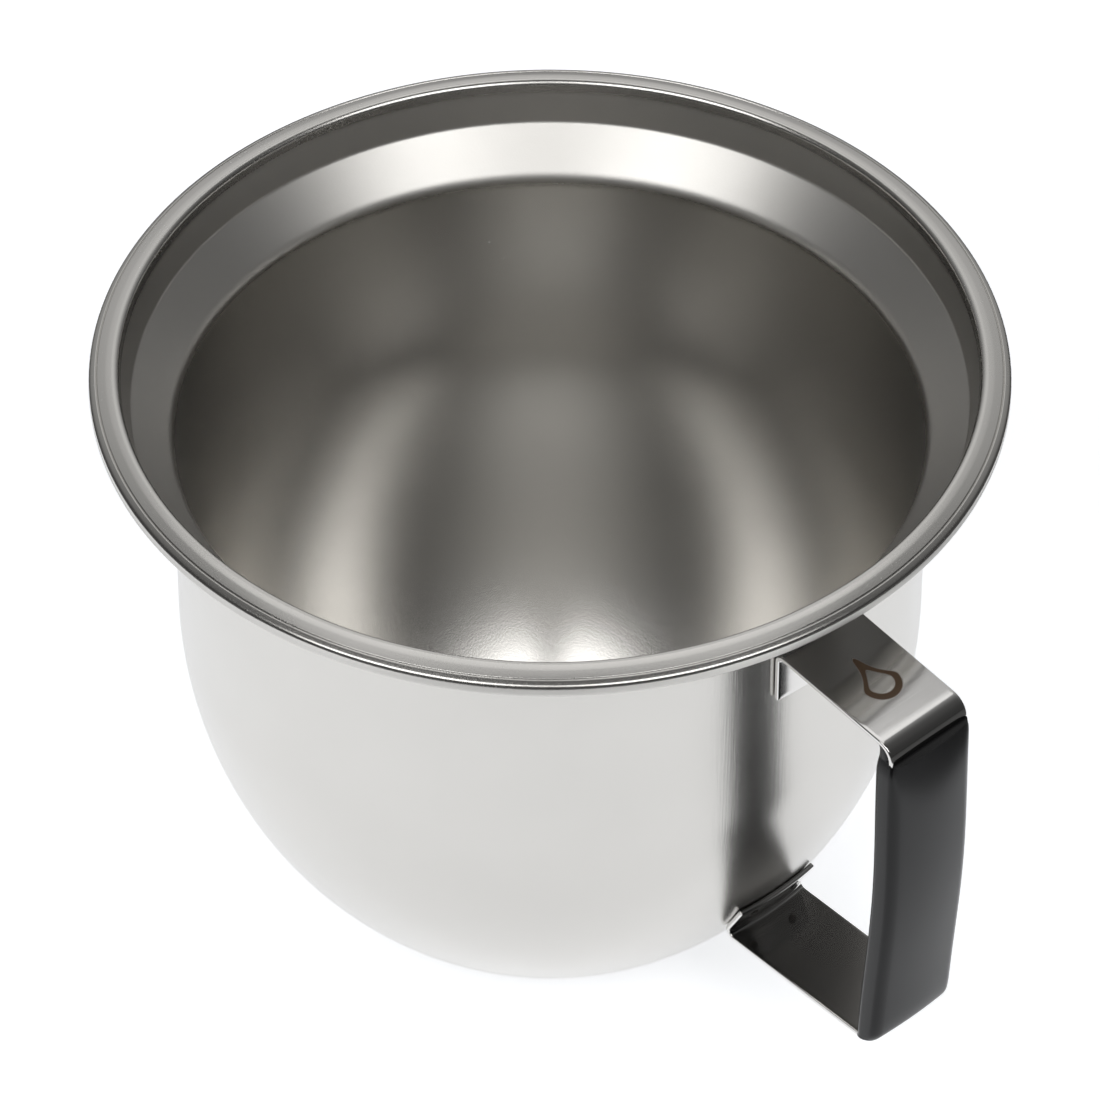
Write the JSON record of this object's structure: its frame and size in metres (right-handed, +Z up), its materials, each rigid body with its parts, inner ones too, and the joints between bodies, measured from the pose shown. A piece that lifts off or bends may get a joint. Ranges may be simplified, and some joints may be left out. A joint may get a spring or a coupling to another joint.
{
  "type": "candle melting pot",
  "caption": "Stainless steel melting pot for candle wax with a stepped collar, a turned rim, a rounded bowl and a bent strap handle with a black moulded grip.",
  "frame": {"origin": "centre of the underside of the flat base, on the pot's axis", "axes": "+Z up along the pot's axis, +X from the axis towards the handle's grip, +Y to the left of someone looking along +X"},
  "size_m": [0.2755, 0.25, 0.1879],
  "materials": {
    "satin_steel": "fine satin, softly reflecting",
    "bright_steel": "polished sheet with fine lengthwise grain",
    "weld_steel": "darkened spot weld",
    "black_plastic": "smooth satin black"
  },
  "bodies": {
    "root": {"pot_body": "satin_steel", "handle_strap": "bright_steel", "handle_grip": "black_plastic", "upper_weld_left": "weld_steel", "upper_weld_right": "weld_steel", "lower_weld_left": "weld_steel", "lower_weld_right": "weld_steel"}
  },
  "joints": []
}
